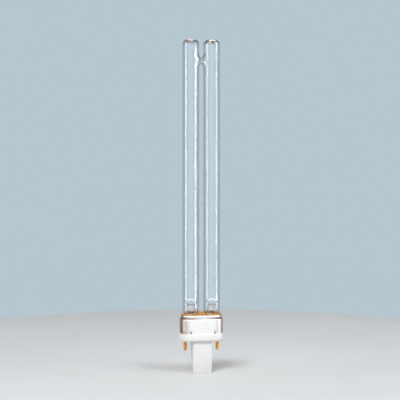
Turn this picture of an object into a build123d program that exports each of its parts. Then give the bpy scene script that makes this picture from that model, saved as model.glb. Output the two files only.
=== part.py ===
"""Germicidal twin-tube lamp on a two-pin plug-in base.

Two clear glass limbs joined by a blown bridge stand in a metal collar, held by basing cement.
The collar is staked to a white moulded cap whose flange carries two hollow brass pins and whose
square post houses the glow starter and its suppression capacitor.
Millimetres, +Z up, origin at the centre of the post's end face, pins on the X axis, front at -Y.
"""

import os
from math import atan2, degrees, sqrt

from build123d import *

# Discharge tube: two blown limbs and the bridge that joins their bores
tube_dia = 12.0
tube_wall = 0.9
crown_wall = 1.7  # melted closed, so thicker than the wall
tube_pitch = 15.0
tube_reach = 195.2  # from the collar rim to the crown of the limbs
tube_insertion = 7.8  # from the collar rim down to the cut end of the glass
shoulder_radius = 3.0
crown_radius = 10.0
bridge_drop = 15.5  # from the crown down to the bridge axis
bridge_neck_dia = 4.4
bridge_root_share = 0.8  # of the tube's diameter, where the flared root leaves a limb
bridge_root_sink = 0.3  # how far the root's edge lies in the limb's wall
bridge_bore_dia = 2.2

# Stems: the flared, pinched glass feet that seal the limbs and carry the electrodes
stem_height = 15.0
stem_tube_dia = 6.8
stem_wall = 0.8
flare_height = 4.2
flare_rim_drop = 1.1
pinch_start = 5.5
pinch_rise = 4.5
pinch_thickness = 2.6
exhaust_dia = 2.8
exhaust_bore_dia = 1.5
exhaust_reach = 3.0  # below the cut end of the glass
exhaust_tip = 1.2
exhaust_hole_dia = 1.0

# Electrodes: lead-in wires with crimped clamps, and the coated coil between them
lead_dia = 0.5
lead_offset = 2.2  # lead to stem axis, through the pinch
clamp_offset = 3.7  # clamp centre to stem axis
clamp_dia = 1.0
clamp_length = 1.0
clamp_drop = 0.8
filament_rise = 2.3  # coil above the pinch
filament_dia = 0.9
filament_tail_dia = 0.4
filament_half = 2.3
filament_arch = 1.2
lead_clear = 0.4  # straight length where a lead leaves the pinch
lead_bend = 0.35  # bend radius at the clamps
lead_sweep = 1.2  # bend radius below the glass
lead_drop = 2.6  # straight length below the glass
flag_width = 1.2
flag_height = 3.4
flag_thickness = 0.15

# Metal collar: drawn shell with a rolled rim above a neck groove
sheet = 0.4
collar_corner_radius = 6.2
collar_wall_height = 10.5
neck_height = 0.6
neck_gap = 0.15  # between the limbs and the neck
rim_height = 1.7
rim_roll = 0.3  # how far the rim stands out over the neck
rim_round = 0.6
step_round = 0.9
stake_radius = 1.3
stake_depth = 0.45
stake_pitch = 16.8
stake_height = 1.2  # stake centre above the flange

# Cap: flange, spigot inside the collar, and the starter post
flange_height = 5.6
flange_ledge = 0.6
flange_round = 1.8
cap_floor = 2.8
spigot_wall = 0.9
spigot_height = 6.3
spigot_gap = 0.1
limb_gap_x = 0.2
limb_gap_y = 0.9
post_wall = 1.3
post_end_wall = 1.6
post_edge_round = 0.8
post_end_chamfer = 0.5
post_draft = 0.5  # degrees
cement_drop = 0.25  # below the rim, where the cement leaves the collar
cement_crest = 1.3  # stands round the limbs
cement_slope = 20.0  # degrees

# Contact pins: hollow brass, headed, crimped on their lead
pin_spacing = 23.0
pin_dia = 2.3
pin_length = 6.9
pin_tip_round = 0.8
pin_shank_dia = 2.8
pin_head_dia = 3.8
pin_head_height = 0.8
pin_bore_gap = 0.05
crimp_radius = 0.6
crimp_depth = 0.4
crimp_height = 4.6  # above the pin's tip

# Starter in the post: glow switch, capacitor, and the ferrules that splice them to the lamp
starter_dia = 7.0
starter_wall = 0.6
starter_length = 17.0
starter_neck_dia = 3.6
starter_pinch_length = 4.5
starter_pinch_width = 4.6
starter_pinch_thickness = 1.6
starter_lead_offset = 1.3
starter_gap = 0.25
contact_gap = 1.0
bimetal_width = 2.0
bimetal_thickness = 0.25
capacitor_width = 8.0
capacitor_thickness = 3.0
capacitor_height = 9.0
capacitor_round = 0.7
capacitor_lead_pitch = 5.0
capacitor_lead_dia = 0.4
capacitor_side_gap = 1.5
wiring_room = 3.55  # from the starter's pinch to the seating plane
splice_offset = 3.2
splice_length = 3.0
splice_wall = 0.25
splice_gap = 0.02
splice_rise = 0.4  # ferrule foot below the cap floor
splice_bend = 0.9

# Levels, from the post's end face up
z_starter = post_end_wall + starter_gap
z_starter_top = z_starter + starter_length
z_seat = z_starter_top + wiring_room
z_floor = z_seat + cap_floor
z_flange = z_seat + flange_height
z_step = z_flange + collar_wall_height
z_neck = z_step + neck_height
z_rim = z_neck + rim_height
z_cement = z_rim - cement_drop
z_crown = z_rim + tube_reach
z_tube = z_rim - tube_insertion
z_spigot = z_flange + spigot_height
z_bridge = z_crown - bridge_drop
z_pinch = z_tube + stem_height
z_filament = z_pinch + filament_rise
z_pin_tip = z_seat - pin_length
z_splice = z_floor - splice_rise
z_splice_top = z_splice + splice_length

# Outlines that follow from what they hold
limbs_width = tube_pitch + tube_dia
spigot_bore_width = max(limbs_width, pin_spacing + pin_head_dia) + 2 * limb_gap_x
spigot_bore_depth = tube_dia + 2 * limb_gap_y
collar_inset = sheet + spigot_gap + spigot_wall  # collar face to spigot bore
collar_width = spigot_bore_width + 2 * collar_inset
collar_depth = spigot_bore_depth + 2 * collar_inset
neck_bore_inset = collar_inset + limb_gap_x - neck_gap
neck_inset = neck_bore_inset - sheet
rim_inset = neck_inset - rim_roll
post_bore_width = capacitor_width + 2 * capacitor_side_gap
post_bore_depth = starter_dia + capacitor_thickness + 3 * starter_gap
post_width = post_bore_width + 2 * post_wall
post_depth = post_bore_depth + 2 * post_wall
starter_y = post_bore_depth / 2 - starter_gap - starter_dia / 2
capacitor_y = -post_bore_depth / 2 + starter_gap + capacitor_thickness / 2
wire_step = lead_dia + splice_gap  # wires side by side in a ferrule


def oval(inset):
    """The collar's rounded outline, drawn in by inset (or out, where negative)."""
    return RectangleRounded(
        collar_width - 2 * inset, collar_depth - 2 * inset, collar_corner_radius - inset
    )


def slab(outline, low, high):
    """A flat outline raised from one level to another."""
    return extrude(Pos(0, 0, low) * outline, high - low)


def rod(dia, low, high, x=0.0, y=0.0):
    """An upright round bar between two levels."""
    return Pos(x, y, low) * Cylinder(
        dia / 2, high - low, align=(Align.CENTER, Align.CENTER, Align.MIN)
    )


def turned(*edges):
    """A solid turned about Z from an outline given as radius and height."""
    return revolve(Plane.XZ * make_face(edges), Axis.Z)


def wire(points, dia, bends):
    """Round wire along straight runs with rounded corners."""
    path = FilletPolyline(*points, radius=bends)
    return sweep(Plane(path @ 0, z_dir=path % 0) * Circle(dia / 2), path=path)


def limb(x, inset):
    """One limb as a solid: the outside at inset 0, its bore at the wall thickness."""
    radius = tube_dia / 2 - inset
    shoulder = shoulder_radius - inset
    crown = crown_radius - inset
    reach = tube_dia / 2 - shoulder_radius
    rise = sqrt((crown_radius - shoulder_radius) ** 2 - reach**2)
    turn = degrees(atan2(rise, reach))
    z_crown_centre = z_crown - crown_radius
    z_shoulder = z_crown_centre + rise
    solid = turned(
        Polyline((0, z_crown - inset), (0, z_tube), (radius, z_tube), (radius, z_shoulder)),
        CenterArc((reach, z_shoulder), shoulder, 0, turn),
        CenterArc((0, z_crown_centre), crown, turn, 90 - turn),
    )
    return Pos(x, 0, 0) * solid


def bridge():
    """The waisted neck that joins the limbs, turned about X. Its flared roots end on the limbs' walls."""
    radius = tube_dia / 2
    root = bridge_root_share * radius
    half = tube_pitch / 2 - sqrt(radius**2 - root**2) + bridge_root_sink
    outline = make_face(
        [
            Polyline((half, root), (half, 0), (-half, 0), (-half, root)),
            ThreePointArc((-half, root), (0, bridge_neck_dia / 2), (half, root)),
        ]
    )
    return Pos(0, 0, z_bridge) * revolve(Plane.XZ * outline, Axis.X)


def discharge_tube():
    sides = (-tube_pitch / 2, tube_pitch / 2)
    outside = limb(sides[0], 0) + limb(sides[1], 0) + bridge()
    bores = Pos(0, 0, tube_wall - crown_wall) * (limb(sides[0], tube_wall) + limb(sides[1], tube_wall))
    passage = Pos(0, 0, z_bridge) * Rot(0, 90, 0) * Cylinder(bridge_bore_dia / 2, tube_pitch)
    return outside - bores - passage


def stem(x):
    """Flare, pinch and tipped-off exhaust tube of one limb, pierced for its two leads."""
    rim = tube_dia / 2
    seat = rim - tube_wall
    outer = stem_tube_dia / 2
    inner = outer - stem_wall
    mouth = seat - stem_wall
    z_flare = z_tube + flare_height
    z_flat = z_tube + pinch_start
    skirt = turned(
        Line((rim, z_tube), (seat, z_tube)),
        TangentArc((outer, z_flare), (seat, z_tube), tangent=(0, -1)),
        Polyline((outer, z_flare), (outer, z_flat), (inner, z_flat), (inner, z_flare)),
        TangentArc((inner, z_flare), (mouth, z_tube - flare_rim_drop), tangent=(0, -1)),
        TangentArc((rim, z_tube), (mouth, z_tube - flare_rim_drop), tangent=(0, -1)),
    )
    half = pinch_thickness / 2
    jaws = make_face(
        Polyline(
            (-outer, z_flat),
            (outer, z_flat),
            (half, z_flat + pinch_rise),
            (half, z_pinch),
            (-half, z_pinch),
            (-half, z_flat + pinch_rise),
            close=True,
        )
    )
    press = rod(stem_tube_dia, z_flat, z_pinch) & extrude(Plane.YZ * jaws, outer, both=True)
    z_tip = z_tube - exhaust_reach
    bore = exhaust_bore_dia / 2
    tubulation = turned(
        Polyline(
            (bore, z_flat),
            (exhaust_dia / 2, z_flat),
            (exhaust_dia / 2, z_tip),
            (bore / 2, z_tip - exhaust_tip),
            (0, z_tip - exhaust_tip),
            (0, z_tip),
            (bore, z_tip),
            close=True,
        )
    )
    z_hole = z_flat + pinch_rise / 2
    vent = rod(exhaust_bore_dia, z_flat, z_hole)
    vent += Pos(0, 0, z_hole) * Rot(90, 0, 0) * rod(exhaust_hole_dia, 0, outer)
    leads = rod(lead_dia, z_flat, z_pinch, lead_offset) + rod(lead_dia, z_flat, z_pinch, -lead_offset)
    return Pos(x, 0, 0) * (skirt + press + tubulation - vent - leads)


def lead_in(side, toward, foot, sweep_radius):
    """One lead-in wire: from its crimped clamp, through the stem, to the foot points below the glass."""
    axis = side * tube_pitch / 2
    clamp_x = axis + toward * clamp_offset
    run_x = axis + toward * lead_offset
    points = [
        (clamp_x, 0, z_filament),
        (clamp_x, 0, z_filament - clamp_dia / 2 - clamp_drop),
        (run_x, 0, z_pinch + lead_clear),
        (run_x, 0, z_tube - lead_drop),
        *foot,
    ]
    bends = [lead_bend, lead_bend, sweep_radius, sweep_radius]
    along_coil = Pos(clamp_x, 0, z_filament) * Rot(0, 90, 0)
    barrel = along_coil * Cylinder(clamp_dia / 2, clamp_length)
    tail_bore = along_coil * Cylinder(filament_tail_dia / 2, clamp_length)
    return wire(points, lead_dia, bends) + barrel - tail_bore


def outer_lead(side):
    """From the electrode down into the bore of the contact pin."""
    pin_x = side * pin_spacing / 2
    z_head = z_floor + pin_head_height
    foot = [(pin_x, 0, (z_head + z_tube - lead_drop) / 2), (pin_x, 0, z_pin_tip)]
    return lead_in(side, side, foot, lead_sweep)


def inner_lead(side):
    """From the electrode down into the splice ferrule."""
    splice_x = side * splice_offset
    foot = [(splice_x, 0, z_splice_top + lead_dia), (splice_x, 0, z_splice)]
    return lead_in(side, -side, foot, lead_bend)


def filament(side):
    """The coated coil, a slight arch between the two clamps."""
    half = filament_half
    end = clamp_offset + clamp_length / 2
    arch = ThreePointArc((-half, 0, 0), (0, 0, filament_arch), (half, 0, 0))
    coil = sweep(Plane(arch @ 0, z_dir=arch % 0) * Circle(filament_dia / 2), path=arch)
    tails = Rot(0, 90, 0) * Cylinder(filament_tail_dia / 2, 2 * end)
    tails -= Box(2 * half, filament_dia, filament_dia)
    return Pos(side * tube_pitch / 2, 0, z_filament) * (coil + tails)


def amalgam_flag():
    """The small metal tab that stands on the right electrode's outer clamp."""
    x = tube_pitch / 2 + clamp_offset
    low = z_filament + clamp_dia / 2
    return slab(Pos(x, 0) * Rectangle(flag_width, flag_thickness), low, low + flag_height)


def stake_balls(radius):
    """Punch balls of the four stakes that lock the collar to the spigot."""
    y = collar_depth / 2 + stake_radius - stake_depth
    z = z_flange + stake_height
    return [
        Pos(i * stake_pitch / 2, j * y, z) * Sphere(radius) for i in (-1, 1) for j in (-1, 1)
    ]


def collar_outside():
    wall = slab(oval(0), z_flange, z_step)
    wall = fillet(wall.edges().group_by(Axis.Z)[-1], step_round)
    rim = slab(oval(rim_inset), z_neck, z_rim)
    rim = fillet(rim.edges().group_by(Axis.Z)[-1], rim_round)
    rim = fillet(rim.edges().group_by(Axis.Z)[0], rim_roll)
    return wall + slab(oval(neck_inset), z_step, z_neck) + rim


def collar_bore():
    """What the collar holds: the space inside its wall and its neck."""
    wide = slab(oval(sheet), z_flange, z_step - sheet)
    wide = fillet(wide.edges().group_by(Axis.Z)[-1], step_round - sheet)
    return wide + slab(oval(neck_bore_inset), z_step - sheet, z_rim)


def collar_shell():
    outside = collar_outside()
    shell = outside - collar_bore()
    for punch, bump in zip(stake_balls(stake_radius), stake_balls(stake_radius + sheet)):
        shell = shell + (bump & outside) - punch
    return shell


def basing_cement():
    """Fills the collar round the limbs and stands over its rim as a sloping crest."""
    fill = slab(oval(0), z_spigot, z_cement) & collar_bore()
    crest = extrude(Pos(0, 0, z_cement) * oval(neck_bore_inset), cement_crest, taper=cement_slope)
    return fill + crest - limb(-tube_pitch / 2, 0) - limb(tube_pitch / 2, 0)


def cap_body():
    flange = slab(oval(-flange_ledge), z_seat, z_flange)
    flange = fillet(flange.edges().group_by(Axis.Z)[0], flange_round)
    spigot = slab(oval(sheet + spigot_gap), z_flange, z_spigot)
    post = extrude(
        Pos(0, 0, z_seat) * RectangleRounded(post_width, post_depth, post_edge_round),
        -z_seat,
        taper=post_draft,
    )
    post = chamfer(post.edges().group_by(Axis.Z)[0], post_end_chamfer)
    body = flange + spigot + post
    body -= slab(oval(collar_inset), z_floor, z_spigot)
    body -= slab(Rectangle(post_bore_width, post_bore_depth), post_end_wall, z_floor)
    for side in (-1, 1):
        body -= rod(pin_shank_dia, z_seat, z_floor, side * pin_spacing / 2)
    for bump in stake_balls(stake_radius + sheet + spigot_gap):
        body -= bump & spigot
    return body


def contact_pin(side):
    """Hollow headed pin with a round tip and a crimp dimple front and back."""
    bore = lead_dia / 2 + pin_bore_gap
    radius = pin_dia / 2
    z_round = z_pin_tip + pin_tip_round
    pin = turned(
        Polyline(
            (radius, z_round),
            (radius, z_seat),
            (pin_shank_dia / 2, z_seat),
            (pin_shank_dia / 2, z_floor),
            (pin_head_dia / 2, z_floor),
            (pin_head_dia / 2, z_floor + pin_head_height),
            (bore, z_floor + pin_head_height),
            (bore, z_pin_tip),
            (radius - pin_tip_round, z_pin_tip),
        ),
        CenterArc((radius - pin_tip_round, z_round), pin_tip_round, 270, 90),
    )
    for face in (-1, 1):
        y = face * (radius + crimp_radius - crimp_depth)
        pin -= Pos(0, y, z_pin_tip + crimp_height) * Sphere(crimp_radius)
    return Pos(side * pin_spacing / 2, 0, 0) * pin


def starter_outline(inset):
    """Half outline of the glow switch's bulb, from its round foot to its shoulder."""
    radius = starter_dia / 2 - inset
    neck = starter_neck_dia / 2 - inset
    z_round = z_starter + starter_dia / 2
    z_top = z_starter_top - starter_pinch_length
    z_shoulder = z_top - (radius - neck)
    return turned(
        CenterArc((0, z_round), radius, 270, 90),
        Line((radius, z_round), (radius, z_shoulder)),
        CenterArc((neck, z_shoulder), radius - neck, 0, 90),
        Polyline((neck, z_top), (0, z_top), (0, z_round - radius)),
    )


def starter_bulb():
    """Glass bulb of the glow switch, pinched at the top round its two leads."""
    pinch_low = z_starter_top - starter_pinch_length - starter_wall
    pinch = slab(
        RectangleRounded(starter_pinch_width, starter_pinch_thickness, starter_pinch_thickness / 3),
        pinch_low,
        z_starter_top,
    )
    bulb = starter_outline(0) + pinch - starter_outline(starter_wall)
    for side in (-1, 1):
        bulb -= rod(lead_dia, pinch_low - starter_wall, z_starter_top, side * starter_lead_offset)
    return Pos(0, starter_y, 0) * bulb


def starter_lead(side, z_inside):
    """One lead of the glow switch, from inside its bulb up into a splice ferrule."""
    x = side * starter_lead_offset
    splice_x = side * splice_offset
    points = [
        (x, starter_y, z_inside),
        (x, starter_y, z_starter_top + lead_dia),
        (splice_x, wire_step, z_splice - lead_dia),
        (splice_x, wire_step, z_splice_top),
    ]
    return wire(points, lead_dia, splice_bend)


def starter_electrode():
    """The fixed contact: a straight post hanging in the bulb."""
    return starter_lead(1, z_starter + starter_dia / 2)


def starter_bimetal():
    """The moving contact: a bent strip welded to its lead, open when cold."""
    x = -starter_lead_offset
    z_weld = z_starter_top - starter_pinch_length - 2 * starter_wall
    z_bend = z_starter + starter_dia / 2
    x_contact = starter_lead_offset - lead_dia / 2 - contact_gap
    spine = Polyline((x, z_weld), (x, z_bend), (x_contact, z_bend - starter_wall))
    strip = make_face(offset(spine, bimetal_thickness, side=Side.RIGHT))
    strip = extrude(Plane.XZ * strip, bimetal_width / 2, both=True)
    return starter_lead(-1, z_weld - bimetal_width) + Pos(0, starter_y, 0) * strip


def capacitor():
    body = Box(capacitor_width, capacitor_thickness, capacitor_height)
    body = fillet(body.edges(), capacitor_round)
    return Pos(0, capacitor_y, z_starter + capacitor_height / 2) * body


def capacitor_lead(side):
    x = side * capacitor_lead_pitch / 2
    splice_x = side * splice_offset
    y_splice = -(lead_dia + capacitor_lead_dia) / 2 - splice_gap
    points = [
        (x, capacitor_y, z_starter + capacitor_height),
        (x, capacitor_y, z_starter_top + lead_dia),
        (splice_x, y_splice, z_splice - lead_dia),
        (splice_x, y_splice, z_splice_top),
    ]
    return wire(points, capacitor_lead_dia, splice_bend)


def splice_ferrule(side):
    """Crimped ferrule round a lamp lead, a starter lead and a capacitor lead."""
    bore_width = lead_dia + splice_gap
    bore_length = 3 * wire_step
    bore = SlotOverall(bore_length, bore_width, rotation=90)
    skin = SlotOverall(bore_length + 2 * splice_wall, bore_width + 2 * splice_wall, rotation=90)
    return slab(Pos(side * splice_offset, 0) * (skin - bore), z_splice, z_splice_top)


sides = {"left": -1, "right": 1}
nodes = {
    "discharge_tube": discharge_tube(),
    "amalgam_flag": amalgam_flag(),
    "collar_shell": collar_shell(),
    "basing_cement": basing_cement(),
    "cap_body": cap_body(),
    "starter_bulb": starter_bulb(),
    "starter_electrode": starter_electrode(),
    "starter_bimetal": starter_bimetal(),
    "capacitor": capacitor(),
    "capacitor_leads": Compound([capacitor_lead(side) for side in sides.values()]),
}
for name, side in sides.items():
    nodes[f"{name}_stem"] = stem(side * tube_pitch / 2)
    nodes[f"{name}_filament"] = filament(side)
    nodes[f"{name}_outer_lead"] = outer_lead(side)
    nodes[f"{name}_inner_lead"] = inner_lead(side)
    nodes[f"{name}_pin"] = contact_pin(side)
    nodes[f"{name}_splice"] = splice_ferrule(side)

os.makedirs("parts", exist_ok=True)
for name, shape in nodes.items():
    export_step(shape, f"parts/{name}.step")
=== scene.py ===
"""Looks of a twin-tube germicidal lamp, built round its fixed frame."""

import math
from functools import partial, reduce

import bmesh
import bpy
from bpy.props import FloatProperty, FloatVectorProperty, IntProperty, PointerProperty
from bpy.types import Operator, Panel, PropertyGroup
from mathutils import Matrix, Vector


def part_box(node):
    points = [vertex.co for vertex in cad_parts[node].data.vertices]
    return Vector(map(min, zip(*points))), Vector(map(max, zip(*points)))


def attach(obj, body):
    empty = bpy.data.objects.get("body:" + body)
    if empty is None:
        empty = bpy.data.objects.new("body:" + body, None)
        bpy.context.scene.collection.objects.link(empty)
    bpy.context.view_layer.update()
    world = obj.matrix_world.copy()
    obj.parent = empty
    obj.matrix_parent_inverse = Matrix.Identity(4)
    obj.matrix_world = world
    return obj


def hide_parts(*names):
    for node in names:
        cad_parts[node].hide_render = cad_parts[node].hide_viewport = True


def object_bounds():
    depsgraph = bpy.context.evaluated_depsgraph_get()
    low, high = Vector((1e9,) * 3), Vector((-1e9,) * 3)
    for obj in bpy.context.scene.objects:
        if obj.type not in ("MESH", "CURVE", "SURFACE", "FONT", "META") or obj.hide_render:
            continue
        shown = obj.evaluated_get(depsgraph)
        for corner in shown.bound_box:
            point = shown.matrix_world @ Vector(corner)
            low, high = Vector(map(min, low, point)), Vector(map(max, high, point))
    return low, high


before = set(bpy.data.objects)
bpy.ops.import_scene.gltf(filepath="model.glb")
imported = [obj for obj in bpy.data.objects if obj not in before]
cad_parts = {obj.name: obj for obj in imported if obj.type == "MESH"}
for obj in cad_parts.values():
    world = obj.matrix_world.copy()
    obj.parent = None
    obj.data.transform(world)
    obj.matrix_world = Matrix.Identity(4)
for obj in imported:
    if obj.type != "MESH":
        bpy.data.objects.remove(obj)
cad_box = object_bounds()

bl_info = {
    "name": "Twin-tube germicidal lamp",
    "version": (1, 0, 0),
    "blender": (4, 5, 0),
    "location": "3D View > Sidebar > Lamp",
    "description": "Glass, electrodes, cement, collar, cap and pins of a twin-tube lamp",
    "category": "Object",
}

MM = 0.001
SIDES = (("left", -1), ("right", 1))

# Sockets of a colour mix node, several of which share a name
MIX_MASK, MIX_LOW, MIX_HIGH, MIX_RESULT = 0, 6, 7, 2

# Sizes read from the frame
glass_low, glass_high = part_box("discharge_tube")
collar_low, collar_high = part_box("collar_shell")
cap_low, cap_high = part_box("cap_body")
pin_low, pin_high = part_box("right_pin")
cement_low, cement_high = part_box("basing_cement")
_, clamp_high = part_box("right_inner_lead")
limb_radius = (glass_high.y - glass_low.y) / 2
limb_axis = glass_high.x - limb_radius
collar_width = collar_high.x - collar_low.x
collar_depth = collar_high.y - collar_low.y
pin_axis = (pin_low.x + pin_high.x) / 2

# Kinds of setting: a length in metres, an angle in radians and a colour
LengthProperty = partial(FloatProperty, unit="LENGTH")
AngleProperty = partial(FloatProperty, subtype="ANGLE")
ColorProperty = partial(FloatVectorProperty, subtype="COLOR")


class LampGlassSettings(PropertyGroup):
    """Blown limbs, their bridge and the stems that close them."""

    wall: LengthProperty(name="Wall", description="Wall thickness of the limbs", default=0.9 * MM)
    crown_wall: LengthProperty(name="Crown wall", description="Thickness of the crown", default=1.7 * MM)
    shoulder: LengthProperty(name="Shoulder", description="Radius where a limb turns in", default=3.0 * MM)
    crown: LengthProperty(name="Crown", description="Radius of the flattened crown", default=10.0 * MM)
    bridge_drop: LengthProperty(name="Bridge drop", description="Crown to the bridge axis", default=15.5 * MM)
    neck: LengthProperty(name="Neck", description="Radius of the bridge at its waist", default=2.2 * MM)
    root: LengthProperty(name="Root", description="Radius of the bridge at a limb", default=4.8 * MM)
    stem_radius: LengthProperty(name="Stem radius", description="Radius of the stem tube", default=3.4 * MM)
    clear: ColorProperty(name="Clear", description="Glass seen straight on", default=(0.97, 0.98, 0.985))
    edge: ColorProperty(name="Edge", description="Glass seen along its wall", default=(0.29, 0.185, 0.22))
    stem_clear: ColorProperty(name="Stem", description="Stem seen straight on", default=(0.93, 0.95, 0.95))
    stem_edge: ColorProperty(name="Stem edge", description="Stem along its wall", default=(0.86, 0.84, 0.85))


class LampElectrodeSettings(PropertyGroup):
    """Coated coils, lead wires and the plated tab."""

    coil_radius: LengthProperty(name="Coil radius", description="Radius of the winding", default=0.27 * MM)
    coil_wire: LengthProperty(name="Coil wire", description="Radius of the coated wire", default=0.18 * MM)
    coil_half: LengthProperty(name="Coil half", description="Half the wound length", default=2.3 * MM)
    coil_turns: IntProperty(name="Coil turns", description="Turns of the coil", default=11, min=3)
    arch: LengthProperty(name="Arch", description="Rise of the coil's middle", default=1.2 * MM)
    coat: ColorProperty(name="Coat", description="Chalky emitter coat", default=(0.92, 0.91, 0.89))
    lead: ColorProperty(name="Lead", description="Lead wire", default=(0.74, 0.62, 0.57))
    heat: ColorProperty(name="Heat tint", description="Oxide on the hot ends", default=(0.07, 0.03, 0.025))
    tab: ColorProperty(name="Tab", description="Plated tab", default=(0.90, 0.90, 0.88))


class LampBaseSettings(PropertyGroup):
    """Collar, cement, cap and pins."""

    corner: LengthProperty(name="Corner", description="Corner radius of the collar", default=6.2 * MM)
    sheet: LengthProperty(name="Sheet", description="Thickness of the collar", default=0.4 * MM)
    rim: LengthProperty(name="Rim", description="Height of the rolled rim", default=1.7 * MM)
    roll: LengthProperty(name="Roll", description="Rim beyond the neck", default=0.3 * MM)
    neck: LengthProperty(name="Neck", description="Height of the neck", default=0.6 * MM)
    neck_inset: LengthProperty(name="Neck inset", description="Neck behind the wall", default=1.05 * MM)
    shoulder: LengthProperty(name="Shoulder", description="Round below the neck", default=0.9 * MM)
    flange: LengthProperty(name="Flange", description="Height of the cap's flange", default=5.6 * MM)
    flange_round: LengthProperty(name="Flange round", description="Round below the flange", default=1.8 * MM)
    post_width: LengthProperty(name="Post width", description="Width of the post", default=13.6 * MM)
    post_depth: LengthProperty(name="Post depth", description="Depth of the post", default=13.35 * MM)
    draft: AngleProperty(name="Draft", description="Draft of the post", default=math.radians(0.5))
    cement_drop: LengthProperty(name="Cement drop", description="Crest below the rim", default=0.25 * MM)
    cement_slope: AngleProperty(name="Cement slope", description="Slope of its top", default=math.radians(20))
    crimp: LengthProperty(name="Crimp", description="Crimps above a pin's tip", default=4.6 * MM)
    metal: ColorProperty(name="Metal", description="Bright collar metal", default=(0.97, 0.93, 0.91))
    dull: ColorProperty(name="Dull metal", description="Dull collar patches", default=(0.84, 0.76, 0.73))
    # Painted dark reflection: the brown tone at both ends of the collar stands in for the darker surroundings
    # that its curved ends mirror
    end_reflection: ColorProperty(name="Stain", description="Heat stain at both ends", default=(0.24, 0.145, 0.12))
    # Painted shade: the dark colour in the collar's neck groove and at its stakes
    recess_shade: ColorProperty(name="Grime", description="Dirt in the collar's groove", default=(0.13, 0.07, 0.045))
    cement: ColorProperty(name="Cement", description="Basing cement", default=(0.52, 0.24, 0.05))
    resin: ColorProperty(name="Resin", description="Dark resin in the cement", default=(0.12, 0.045, 0.012))
    grain: ColorProperty(name="Grain", description="Pale grains in the cement", default=(0.95, 0.76, 0.42))
    plastic: ColorProperty(name="Plastic", description="White moulding", default=(0.84, 0.835, 0.82))
    flow: ColorProperty(name="Flow", description="Flow marks of the moulding", default=(0.78, 0.77, 0.75))
    brass: ColorProperty(name="Brass", description="Bright brass", default=(0.86, 0.44, 0.085))
    tarnish: ColorProperty(name="Tarnish", description="Tarnished brass", default=(0.30, 0.15, 0.04))
    # Painted shade: the dark colour in a pin's crimps
    crimp_shade: ColorProperty(name="Dirt", description="Dirt in a pin's crimps", default=(0.07, 0.035, 0.012))


class LampStageSettings(PropertyGroup):
    """Camera, table, backdrop and lights."""

    azimuth: AngleProperty(name="Azimuth", description="Camera round the lamp", default=math.radians(-8.7))
    elevation: AngleProperty(name="Elevation", description="Camera above level", default=math.radians(0.48))
    distance: LengthProperty(name="Distance", description="Camera to its aim", default=0.611)
    aim_height: LengthProperty(name="Aim height", description="Height of the camera's aim", default=0.122)
    aim_side: LengthProperty(name="Aim side", description="Sideways shift of the aim", default=-0.87 * MM)
    lens: FloatProperty(name="Lens", description="Focal length in millimetres", default=77.45)
    table_radius: LengthProperty(name="Table radius", description="Radius of the round table", default=0.33)
    table: ColorProperty(name="Table", description="Pale table top", default=(0.66, 0.67, 0.675))
    backdrop: ColorProperty(name="Backdrop", description="Pale backdrop", default=(0.47, 0.57, 0.63))
    left_strip: AngleProperty(name="Left strip", description="Azimuth of a strip", default=math.radians(-82))
    right_strip: AngleProperty(name="Right strip", description="Azimuth of a strip", default=math.radians(68))
    strip_light: FloatProperty(name="Strip light", description="Brightness of both strips", default=13.0)
    gleam: ColorProperty(name="Gleam", description="Warm light over the crowns", default=(0.5, 0.29, 0.2))
    ceiling: ColorProperty(name="Ceiling", description="Dim room above", default=(0.06, 0.06, 0.07))


def enter(mode):
    """Goes to object mode or edit mode."""
    bpy.ops.object.mode_set(mode=mode)


def fresh(name, add, **options):
    """Adds a primitive by itself, applies its place and enters edit mode with all of it selected."""
    bpy.ops.object.select_all(action="DESELECT")
    add(**options)
    piece = bpy.context.object
    piece.name = name
    piece.data.name = name
    bpy.ops.object.transform_apply()
    enter("EDIT")
    bpy.ops.mesh.select_all(action="SELECT")
    return piece


def middle(part):
    """The place of a vertex, or the middle of an edge or face."""
    if isinstance(part, bmesh.types.BMVert):
        return part.co
    return sum((v.co for v in part.verts), Vector()) / len(part.verts)


def select(piece, kind, passes):
    """Selects the vertices, edges or faces in edit mode that pass."""
    bpy.ops.mesh.select_mode(type=kind)
    bpy.ops.mesh.select_all(action="DESELECT")
    mesh = bmesh.from_edit_mesh(piece.data)
    for part in {"VERT": mesh.verts, "EDGE": mesh.edges, "FACE": mesh.faces}[kind]:
        if passes(part):
            part.select_set(True)
    mesh.select_flush_mode()
    bmesh.update_edit_mesh(piece.data)


def pick(piece, kind, test):
    """Selects the vertices, edges or faces whose middle passes a test."""
    select(piece, kind, lambda part: test(middle(part)))


def pick_border(piece, test):
    """Selects the open edges whose middle passes a test."""
    select(piece, "EDGE", lambda edge: (edge.is_boundary or edge.is_wire) and test(middle(edge)))


def near(height):
    """A test for places at one height."""
    return lambda p: abs(p.z - height) < 0.005 * MM


def join_loops(piece, test=lambda p: True, **options):
    """Joins the two open loops that pass a test."""
    pick_border(piece, test)
    bpy.ops.mesh.bridge_edge_loops(**options)


def climb(rings, x=0.0):
    """Extrudes the selected loop through rings (width, depth, height) about an upright axis."""
    for (width, depth, height), (wider, deeper, higher) in zip(rings, rings[1:]):
        bpy.ops.mesh.extrude_edges_move(TRANSFORM_OT_translate={"value": (0, 0, higher - height)})
        grow = (wider / width, deeper / depth, 1)
        bpy.ops.transform.resize(value=grow, center_override=(x, 0, higher))


def lathe(name, rings, sides, x=0.0):
    """A stack of rings (half width, half depth, height), open at its ends and left in edit mode."""
    width, depth, height = rings[0]
    place = (x, 0, height)
    piece = fresh(name, bpy.ops.mesh.primitive_circle_add, vertices=sides, radius=width, location=place)
    bpy.ops.transform.resize(value=(1, depth / width, 1), center_override=place)
    climb(rings, x)
    return piece


def turned(profile):
    """Round rings from a profile of (radius, height)."""
    return [(radius, radius, height) for radius, height in profile]


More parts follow.
